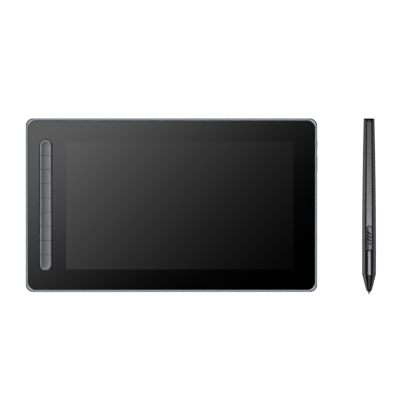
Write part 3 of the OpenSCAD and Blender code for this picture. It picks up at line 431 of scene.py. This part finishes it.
class Shape:
    """Points and faces of a mesh in the making."""

    def __init__(self):
        self.points, self.faces = [], []

    def loop(self, points):
        """Adds points, and gives back their numbers."""
        start = len(self.points)
        self.points += points
        return list(range(start, len(self.points)))

    def strip(self, low, high):
        """Faces from one row of points to another with as many."""
        self.faces += [(low[i], low[i + 1], high[i + 1], high[i]) for i in range(len(low) - 1)]

    def band(self, low, high):
        """Faces from one closed loop to another with as many points."""
        self.strip([*low, low[0]], [*high, high[0]])

    def wall(self, loops):
        """Faces from each closed loop to the next."""
        for low, high in zip(loops, loops[1:]):
            self.band(low, high)

    def skirt(self, rim, z):
        """Faces straight down from a closed loop, and the loop at their foot."""
        foot = self.loop([(*self.points[i][:2], z) for i in rim])
        self.band(rim, foot)
        return foot

    def fill(self, outer, *holes):
        """Flat faces inside a loop and outside its holes."""
        loops = [outer, *holes]
        flat = [i for loop in loops for i in loop]
        triangles = tessellate_polygon([[Vector(self.points[i]) for i in loop] for loop in loops])
        self.faces += [tuple(flat[i] for i in triangle) for triangle in triangles]

    def mesh(self, name, sharp):
        """The mesh of these points and faces, with its normals outwards and its round parts smooth."""
        mesh = bpy.data.meshes.new(name)
        mesh.from_pydata(self.points, [], self.faces)
        work = bmesh.new()
        work.from_mesh(mesh)
        bmesh.ops.remove_doubles(work, verts=work.verts, dist=JOIN)
        bmesh.ops.recalc_face_normals(work, faces=work.faces)
        work.to_mesh(mesh)
        work.free()
        mesh.shade_smooth()
        mesh.set_sharp_from_angle(angle=math.radians(sharp))
        for face in mesh.polygons:
            face.use_smooth = abs(face.normal.z) < LEVEL
        return mesh

    def piece(self, name, slot, body, *nodes, sharp=SHARP):
        """The finished piece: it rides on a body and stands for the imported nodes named."""
        mesh = self.mesh(name, sharp)
        mesh.materials.append(FINISHES[slot])
        obj = bpy.data.objects.new(name, mesh)
        SCENE.collection.objects.link(obj)
        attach(obj, body)
        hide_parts(*nodes)
        return obj


def rounded_loop(low, high, radius, z, inset=0.0, steps=CORNER_STEPS):
    """Points round a rectangle with rounded corners, set in from its edges."""
    middle = (low + high) / 2
    corners = ((high.x, high.y), (low.x, high.y), (low.x, low.y), (high.x, low.y))
    points = []
    for quarter, (x, y) in enumerate(corners):
        centre_x = x - math.copysign(radius, x - middle.x)
        centre_y = y - math.copysign(radius, y - middle.y)
        for i in range(steps + 1):
            angle = math.radians(90 * quarter + 90 * i / steps)
            points.append((centre_x + (radius - inset) * math.cos(angle),
                           centre_y + (radius - inset) * math.sin(angle), z))
    return points


def picture_area():
    """The picture's lowest and highest corners: the panel less its own frame."""
    margin = Vector((PANEL_MARGIN, PANEL_MARGIN, 0))
    return PANEL_LOW + margin, PANEL_HIGH - margin


def make_border():
    """The glass with its printed border: a rounded outer edge, the key slot and a picture window."""
    top, base = GLASS_HIGH.z, GLASS_LOW.z
    shape = Shape()
    outer = [shape.loop(rounded_loop(GLASS_LOW, GLASS_HIGH, GLASS_CORNER, base))]
    for i in range(GLASS_EDGE_STEPS + 1):
        turn = math.radians(90 * i / GLASS_EDGE_STEPS)
        z = top - GLASS_EDGE_DROP * (1 - math.sin(turn))
        inset = GLASS_EDGE * (1 - math.cos(turn))
        outer.append(shape.loop(rounded_loop(GLASS_LOW, GLASS_HIGH, GLASS_CORNER, z, inset)))
    reach = Vector((KEY_HALF + SLOT_GAP, STRIP_HALF + SLOT_GAP))
    low, high = KEY_MIDDLE - reach, KEY_MIDDLE + reach
    slot = [shape.loop(rounded_loop(low, high, reach.x, z, inset, SLOT_STEPS))
            for z, inset in ((base, 0), (top - SLOT_BEVEL, 0), (top, -SLOT_BEVEL))]
    low, high = picture_area()
    window = [shape.loop(rounded_loop(low, high, PICTURE_CORNER, z, steps=PICTURE_STEPS))
              for z in (base, top)]
    for loops in (outer, slot, window):
        shape.wall(loops)
    shape.fill(outer[-1], slot[-1], window[-1])
    shape.fill(outer[0], slot[0], window[0])
    return shape.piece("glass_border", "front_glass", "tablet", "cover_glass")


def make_picture():
    """The glass over the picture, flush with the border round it."""
    top, base = GLASS_HIGH.z, GLASS_LOW.z
    low, high = picture_area()
    shape = Shape()
    loops = [shape.loop(rounded_loop(low, high, PICTURE_CORNER, z, inset, PICTURE_STEPS))
             for z, inset in ((base, 0), (top - PICTURE_BEVEL_DROP, 0), (top, PICTURE_BEVEL))]
    shape.wall(loops)
    shape.fill(loops[0])
    shape.fill(loops[-1])
    return shape.piece("glass_picture", "front_glass", "tablet", "cover_glass")


def rounding(distance, radius):
    """How far a rounded edge has dropped at a distance from it."""
    short = min(max(radius - distance, 0), radius)
    return radius - math.sqrt(radius ** 2 - short ** 2)


def smooth_step(value):
    """Eases a value from zero to one, and holds it there."""
    value = min(max(value, 0), 1)
    return value * value * (3 - 2 * value)


def key_height(reach, from_end):
    """The key's surface at a distance from the strip's axis and from the key's own ends."""
    dish = DISH_DEPTH * (1 - min(reach / DISH_HALF, 1) ** DISH_POWER)
    return KEY_TOP - dish - rounding(KEY_HALF - reach, LIP_ROUND) - rounding(from_end, DIVIDER_ROUND)


def key_reaches():
    """Distances from the strip's axis at which a key's surface has points, closer at the lip."""
    dish = [DISH_HALF * i / DISH_STEPS for i in range(DISH_STEPS + 1)]
    lip = KEY_HALF - LIP_ROUND
    flat = [lip - back for back in LIP_FLATS]
    edge = [lip + LIP_ROUND * math.sin(math.radians(turn)) for turn in LIP_TURNS]
    return dish + flat + edge


def key_rows(low, high, near, far):
    """Places along a key at which its surface has points, closer where it meets another key."""
    turned = [DIVIDER_ROUND * (1 - math.cos(math.radians(turn))) for turn in DIVIDER_TURNS]
    steps = [*turned, 2 * DIVIDER_ROUND]
    start = [low] if near else [low + step for step in steps]
    stop = [high] if far else [high - step for step in reversed(steps)]
    return start + stop


def strip_end(shape, row, reaches, y, sign):
    """A round end of the strip, fanned out from the middle of a key's last row; gives its outline."""
    middle = len(reaches) - 1
    spokes = [row[middle:]]
    for k in range(1, STRIP_END_STEPS):
        angle = math.pi * k / STRIP_END_STEPS
        aside, along = math.cos(angle), sign * math.sin(angle)
        points = [(KEY_MIDDLE.x + r * aside, y + r * along, key_height(r, AWAY)) for r in reaches[1:]]
        spokes.append([row[middle], *shape.loop(points)])
    spokes.append(row[middle::-1])
    for a, b in zip(spokes, spokes[1:]):
        shape.faces.append((a[0], a[1], b[1]))
        shape.strip(a[1:], b[1:])
    return [spoke[-1] for spoke in spokes]


def make_key(index):
    """One key: a piece of the strip with a dish, rounded lips and rounded ends."""
    far, near = index == 0, index == KEY_COUNT - 1
    high = KEY_MIDDLE.y + (KEY_COUNT / 2 - index) * KEY_PITCH - KEY_GAP / 2
    low = high - KEY_PITCH + KEY_GAP
    if far:
        high = KEY_MIDDLE.y + STRIP_AXIS_HALF
    if near:
        low = KEY_MIDDLE.y - STRIP_AXIS_HALF
    reaches = key_reaches()
    across = [-r for r in reversed(reaches[1:])] + reaches
    shape = Shape()
    grid = []
    for y in key_rows(low, high, near, far):
        from_end = min(AWAY if near else y - low, AWAY if far else high - y)
        grid.append(shape.loop([(KEY_MIDDLE.x + x, y, key_height(abs(x), from_end)) for x in across]))
    for a, b in zip(grid, grid[1:]):
        shape.strip(a, b)
    far_edge, near_edge = grid[-1][::-1], grid[0]
    if far:
        far_edge = strip_end(shape, grid[-1], reaches, high, 1)
    if near:
        near_edge = strip_end(shape, grid[0], reaches, low, -1)[::-1]
    right, left = [row[-1] for row in grid], [row[0] for row in reversed(grid)]
    foot = shape.skirt(right + far_edge[1:-1] + left + near_edge[1:-1], KEY_LOW)
    shape.faces.append(tuple(foot))
    node = f"key_{index + 1}"
    return shape.piece(f"{node}_cap", "key_plastic", node, node, sharp=KEY_SHARP)


def rocker_sides(y):
    """The rocker's left and right edges at a place along the pen, from the pen's middle."""
    share = min((ROCKER_FAR - y) / POINT_LEN, 1)
    left = POINT_X + (-ROCKER_HALF - POINT_X) * share
    right = POINT_X + (ROCKER_HALF - POINT_X) * share
    from_near = y - ROCKER_NEAR
    if from_near < ROCKER_HALF:
        half = math.sqrt(max(ROCKER_HALF ** 2 - (ROCKER_HALF - from_near) ** 2, 0))
        left, right = max(left, -half), min(right, half)
    return left, right


def groove_depth(x, y):
    """How deep the grip grooves are at a place on the rocker."""
    depth = 0
    for centre_x, centre_y, half_len in GROOVES:
        dx, dy = x - centre_x * MM, y - centre_y * MM
        along = dx * math.cos(GROOVE_SLANT) - dy * math.sin(GROOVE_SLANT)
        aside = dx * math.sin(GROOVE_SLANT) + dy * math.cos(GROOVE_SLANT)
        ends = smooth_step((half_len * MM - abs(along)) / GROOVE_END)
        depth = max(depth, GROOVE_DEPTH * ends * max(1 - abs(aside) / GROOVE_HALF, 0))
    return depth


def point_distance(x, y):
    """Distance from the two slanted edges of the rocker's pointed end."""
    nearest = ROCKER_HALF
    for side in (-1, 1):
        run = side * ROCKER_HALF - POINT_X
        across = abs((x - POINT_X) * POINT_LEN - run * (ROCKER_FAR - y)) / math.hypot(run, POINT_LEN)
        nearest = min(nearest, across)
    return nearest


def rocker_height(x, y):
    """The rocker's surface: two slopes from a ridge, rounded edges and the grooves."""
    off = x - RIDGE
    fall = LEFT_FALL if off < 0 else RIGHT_FALL
    drop = fall * (math.sqrt(off * off + RIDGE_ROUND ** 2) - RIDGE_ROUND)
    edge = max(rounding(ROCKER_HALF - abs(x), SIDE_EDGE), rounding(point_distance(x, y), POINT_EDGE))
    below = ROCKER_NEAR + ROCKER_HALF - y
    if below > 0:
        near_edge = NEAR_EDGE * smooth_step(below / ROCKER_HALF)
        edge = max(edge, rounding(ROCKER_HALF - math.hypot(x, below), near_edge))
    return ROCKER_TOP - drop - edge - groove_depth(x, y)


def make_rocker():
    """The pen's rocker button, with slanted grip grooves across its top."""
    shape = Shape()
    rows = []
    for k in range(ROCKER_ROWS + 1):
        y = ROCKER_FAR + (ROCKER_NEAR - ROCKER_FAR) * k / ROCKER_ROWS
        left, right = rocker_sides(y)
        row = []
        for i in range(ROCKER_COLUMNS + 1):
            share = 0.5 - 0.5 * math.cos(math.pi * i / ROCKER_COLUMNS)
            x = left + (right - left) * share
            row.append((PEN_X + x, y, rocker_height(x, y)))
        rows.append(shape.loop(row))
    for a, b in zip(rows, rows[1:]):
        shape.strip(a, b)
    right_edge = [row[-1] for row in rows[1:-1]]
    left_edge = [row[0] for row in rows[-2:0:-1]]
    shape.fill(shape.skirt(rows[0] + right_edge + rows[-1][::-1] + left_edge, ROCKER_LOW))
    return shape.piece("rocker_button", "pen_button", "pen_rocker", "pen_rocker", sharp=ROCKER_SHARP)


def make_seam():
    """The ring that shows between the two sections of the pen."""
    low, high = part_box("pen_tail")
    radius = (high.x - low.x) / 2
    facet = radius * math.cos(FACET_ANGLE) + SEAM_PROUD

    def outline(y, inwards):
        points = []
        for k in range(SEAM_STEPS):
            angle = 2 * math.pi * k / SEAM_STEPS
            x, z = math.sin(angle), math.cos(angle)
            reach = min(radius - SEAM_SUNK, facet / z if z > 0 else radius) - inwards
            points.append((PEN_X + reach * x, y, PEN_Z + reach * z))
        return points

    shape = Shape()
    loops = [shape.loop(outline(SEAM_Y + side * SEAM_HALF, inwards))
             for side, inwards in ((-1, 0), (1, 0), (1, SEAM_THICK), (-1, SEAM_THICK))]
    shape.wall([*loops, loops[0]])
    return shape.piece("pen_seam", "nib_plastic", "pen")


def make_camera():
    """Looks straight down, with the far edge up in the picture."""
    data = bpy.data.cameras.new("camera")
    data.lens = LENS
    data.sensor_width = SENSOR
    data.clip_end = CAMERA_CLIP
    camera = bpy.data.objects.new("camera", data)
    SCENE.collection.objects.link(camera)
    camera.location = PICTURE_CENTRE + Vector((0, 0, CAMERA_DISTANCE))
    SCENE.camera = camera


def staging_card(name, corners):
    """A face between corners that is staging, not part of the object."""
    mesh = bpy.data.meshes.new(name)
    mesh.from_pydata(corners, [], [tuple(range(len(corners)))])
    card = bpy.data.objects.new(name, mesh)
    SCENE.collection.objects.link(card)
    return card


def level(low, high, z):
    """Corners of a level rectangle."""
    return [(low[0], low[1], z), (high[0], low[1], z), (high[0], high[1], z), (low[0], high[1], z)]


def square(half, z):
    """Corners of a level square round the Z axis."""
    return level((-half, -half), (half, half), z)


def upright(x, low, high):
    """Corners of an upright rectangle across the X axis, from a low to a high corner in Y and Z."""
    return [(x, low[0], low[1]), (x, high[0], low[1]), (x, high[0], high[1]), (x, low[0], high[1])]


def make_world():
    """White low down, like a studio's walls, and dark overhead."""
    world = bpy.data.worlds.new("studio")
    SCENE.world = world
    world.use_nodes = True
    tree = world.node_tree
    height = parts(tree, add(tree, "ShaderNodeTexCoord").outputs["Generated"])["Z"]
    wall = ramp(tree, height, *WALL_SPAN, WALL_LIGHT, OVERHEAD_LIGHT)
    path = add(tree, "ShaderNodeLightPath").outputs
    background = tree.nodes["Background"]
    background.inputs["Color"].default_value = WHITE
    tree.links.new(maths(tree, "MAXIMUM", wall, path["Is Camera Ray"]), background.inputs["Strength"])


def make_floor():
    """A white floor that the lamps light and the object shades."""
    floor = staging_card("floor", square(FLOOR_HALF, FLOOR_Z))
    mat, tree, shader = node_material("studio_floor")
    shader.inputs["Base Color"].default_value = FLOOR_COLOUR
    shader.inputs["Roughness"].default_value = FLOOR_ROUGH
    shader.inputs["Specular IOR Level"].default_value = 0
    shader.inputs["Emission Color"].default_value = WHITE
    path = add(tree, "ShaderNodeLightPath").outputs
    seen = maths(tree, "MAXIMUM", path["Is Camera Ray"], path["Is Transmission Ray"])
    glow = maths(tree, "MULTIPLY", seen, FLOOR_GLOW)
    gloss = maths(tree, "MULTIPLY", path["Is Glossy Ray"], FLOOR_GLOSS)
    tree.links.new(maths(tree, "MAXIMUM", glow, gloss), shader.inputs["Emission Strength"])
    floor.data.materials.append(mat)


def light_group(source, objects, state):
    """Lets a light or card shine on some objects alone (INCLUDE), or on all but them (EXCLUDE)."""
    group = bpy.data.collections.new(f"{source.name}_{state.lower()}")
    for obj in objects:
        group.objects.link(obj)
    for row in group.collection_objects:
        row.light_linking.link_state = state
    source.light_linking.receiver_collection = group


def area_lamp(name, azimuth, elevation, distance, size, power):
    """A square soft box round the object, facing it."""
    data = bpy.data.lights.new(name, "AREA")
    data.size = size
    data.energy = power
    lamp = bpy.data.objects.new(name, data)
    SCENE.collection.objects.link(lamp)
    turn, rise = math.radians(azimuth), math.radians(elevation)
    out = math.cos(rise)
    lamp.location = distance * Vector((out * math.cos(turn), out * math.sin(turn), math.sin(rise)))
    lamp.rotation_euler = (LAMP_TARGET - lamp.location).to_track_quat("-Z", "Y").to_euler()
    return lamp


def make_lamps(groups):
    """The lamps of the table, each with the pieces that it lights or leaves out."""
    for name, azimuth, elevation, distance, size, power, state, names in LAMPS:
        lamp = area_lamp(name, azimuth, elevation, distance, size, power)
        light_group(lamp, [obj for group in names for obj in groups[group]], state)


def reflection_card(name, corners, shade, receivers):
    """A clear card that only glows in the gloss of some objects; shade gives its brightness."""
    card = staging_card(name, corners)
    mat, tree, shader = node_material(name)
    tree.nodes.remove(shader)
    glow = add(tree, "ShaderNodeEmission")
    feed(tree, shade(tree), glow.inputs["Strength"])
    both = add(tree, "ShaderNodeAddShader")
    tree.links.new(glow.outputs["Emission"], both.inputs[0])
    tree.links.new(add(tree, "ShaderNodeBsdfTransparent").outputs["BSDF"], both.inputs[1])
    tree.links.new(both.outputs["Shader"], tree.nodes["Material Output"].inputs["Surface"])
    card.data.materials.append(mat)
    card.visible_camera = card.visible_diffuse = False
    card.visible_shadow = card.visible_transmission = False
    light_group(card, receivers, "INCLUDE")


def mirror_place(point):
    """Where on the cards the camera sees a point of the tablet's top mirrored."""
    return PICTURE_CENTRE + (point - PICTURE_CENTRE) * CARD_REACH


def mirror_span(low, high):
    """Corners of the mirror image of an area of the tablet's top, with a margin round it."""
    margin = Vector((CARD_MARGIN, CARD_MARGIN, 0))
    return mirror_place(low) - margin, mirror_place(high) + margin


def slope(tree, low, high, way, length, curve="LINEAR"):
    """One at the far left corner of an area, as the gloss shows it, falling to zero along a way."""
    along = vector_maths(tree, "DOT_PRODUCT", own_place(tree), way, "Value")
    start = mirror_place(Vector((low.x, high.y, 0))).dot(way)
    return ramp(tree, along, start, start + length * CARD_REACH, 1, 0, curve)


def border_shade(tree):
    """Bright over the tablet's far left corner, fading towards the near right."""
    fade = slope(tree, GLASS_LOW, GLASS_HIGH, BORDER_WAY, BORDER_FADE, "SMOOTHSTEP")
    return maths(tree, "MULTIPLY", maths(tree, "POWER", fade, BORDER_POWER), GLASS_SHADE)


def picture_shade(tree):
    """Bright over the picture's far left corner, fading along its diagonal."""
    fade = slope(tree, *picture_area(), PICTURE_WAY, PICTURE_FADE)
    light = maths(tree, "MULTIPLY", maths(tree, "POWER", fade, PICTURE_POWER), GLASS_SHADE)
    return maths(tree, "ADD", light, PICTURE_LEAST)


def sky_shade(tree):
    """Nothing overhead, brighter further out."""
    far = vector_maths(tree, "LENGTH", own_place(tree), result="Value")
    return ramp(tree, far, SKY_CLEAR, SKY_FULL, 0, SKY_SHADE)


def pen_shade(tree):
    """Bright over the pen's grip, fading towards its tail."""
    start, stop = PEN_SHADES[0][0], PEN_SHADES[-1][0]
    most = max(shade for _, shade in PEN_SHADES)
    stops = tree.nodes.new("ShaderNodeValToRGB")
    row = stops.color_ramp.elements
    while len(row) < len(PEN_SHADES):
        row.new(1)
    for element, (place, shade) in zip(row, PEN_SHADES):
        element.position = (place - start) / (stop - start)
        element.color = (shade / most, shade / most, shade / most, 1)
    along = ramp(tree, parts(tree, own_place(tree))["Y"], start, stop, 0, 1)
    tree.links.new(along, stops.inputs["Fac"])
    return maths(tree, "MULTIPLY", stops.outputs["Color"], most)


def grip_shade(tree):
    """Brightest a little right of the grip, fading to both sides: it softens the grip's highlight."""
    aside = maths(tree, "SUBTRACT", parts(tree, own_place(tree))["X"], PEN_X + GRIP_ASIDE)
    return ramp(tree, maths(tree, "ABSOLUTE", aside), 0, GRIP_FADE, GRIP_MOST, GRIP_LEAST)


def fading(most):
    """A shade that dims towards the pen's tail."""
    def shade(tree):
        along = parts(tree, own_place(tree))["Y"]
        return ramp(tree, along, FADE_START, FADE_STOP, most, most * FADE_END)
    return shade


def rocker_shade(tree):
    """Even all over."""
    return ROCKER_SHADE


def make_cards(border, picture, pen, rocker):
    """The cards over the tablet, over the pen and beside it."""
    whole_pen = [*pen, rocker]
    reflection_card("border_card", level(*mirror_span(GLASS_LOW, GLASS_HIGH), CARD_HEIGHT),
                    border_shade, [border])
    reflection_card("picture_card", level(*mirror_span(*picture_area()), CARD_HEIGHT + CARD_STEP),
                    picture_shade, [picture])
    reflection_card("sky_card", square(SKY_HALF, SKY_HEIGHT), sky_shade, [border, picture])
    near, far = PEN_SHADES[0][0], PEN_SHADES[-1][0]
    pen_corners = level((PEN_CARD_LEFT, near), (PEN_CARD_RIGHT, far), PEN_CARD_HEIGHT)
    reflection_card("pen_card", pen_corners, pen_shade, whole_pen)
    grip_corners = level((GRIP_LEFT, GRIP_NEAR), (GRIP_RIGHT, GRIP_FAR), PEN_CARD_HEIGHT + CARD_STEP)
    reflection_card("grip_card", grip_corners, grip_shade, pen)
    for name, aside, top, shade in PEN_SIDES:
        corners = upright(PEN_X + aside, (-SIDE_HALF, SIDE_LOW), (SIDE_HALF, top))
        reflection_card(name, corners, fading(shade), whole_pen)
    rocker_corners = level(ROCKER_CARD_LOW, ROCKER_CARD_HIGH, CARD_HEIGHT + 2 * CARD_STEP)
    reflection_card("rocker_card", rocker_corners, rocker_shade, [rocker])


dress()
make_camera()
make_world()
make_floor()
border, picture = make_border(), make_picture()
keys = [make_key(key_index) for key_index in range(KEY_COUNT)]
rocker = make_rocker()
make_seam()
pen = [obj for name, obj in NODES.items() if name.startswith("pen_")]
rim = [NODES[name] for name in RIM_NODES]
make_lamps({"glass": [border, picture], "keys": keys, "pen": [*pen, rocker], "rim": rim})
make_cards(border, picture, pen, rocker)
SCENE.view_settings.view_transform = "Standard"
